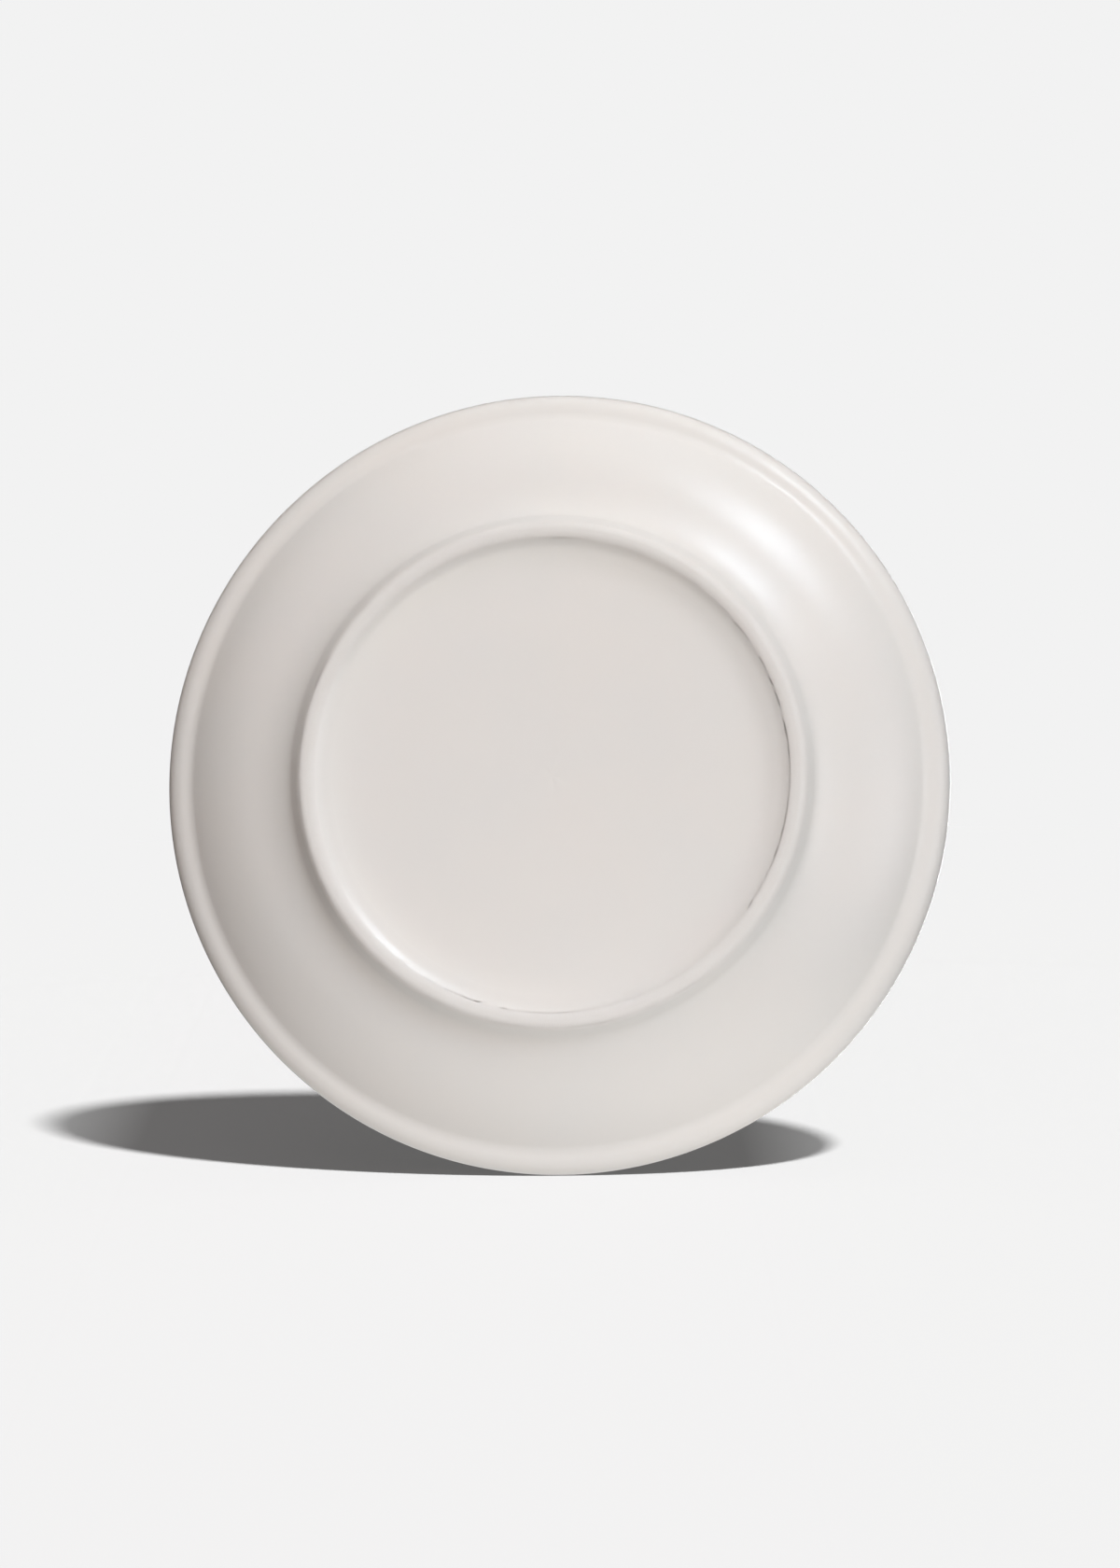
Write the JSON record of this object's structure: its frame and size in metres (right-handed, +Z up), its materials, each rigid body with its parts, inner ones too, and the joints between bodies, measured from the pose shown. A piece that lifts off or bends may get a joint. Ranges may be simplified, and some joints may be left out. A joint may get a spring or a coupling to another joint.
{
  "type": "dinner plate",
  "caption": "Round glazed stoneware dinner plate with a flat well, a curved flange, a thick rounded rim and a low foot ring with a bare land.",
  "frame": {"origin": "centre of the foot ring's land, on the surface that the plate stands on", "axes": "+Z up along the plate's axis, from the foot to the face; X and Y lie in the plane of the foot's land"},
  "size_m": [0.27, 0.27, 0.03],
  "materials": {
    "bare_clay": "dry unglazed stoneware, fine and pale",
    "outer_glaze": "satin off-white glaze",
    "base_glaze": "satin off-white glaze"
  },
  "bodies": {
    "root": {"clay_body": "bare_clay", "outer_glaze": "outer_glaze", "base_glaze": "base_glaze"}
  },
  "joints": []
}
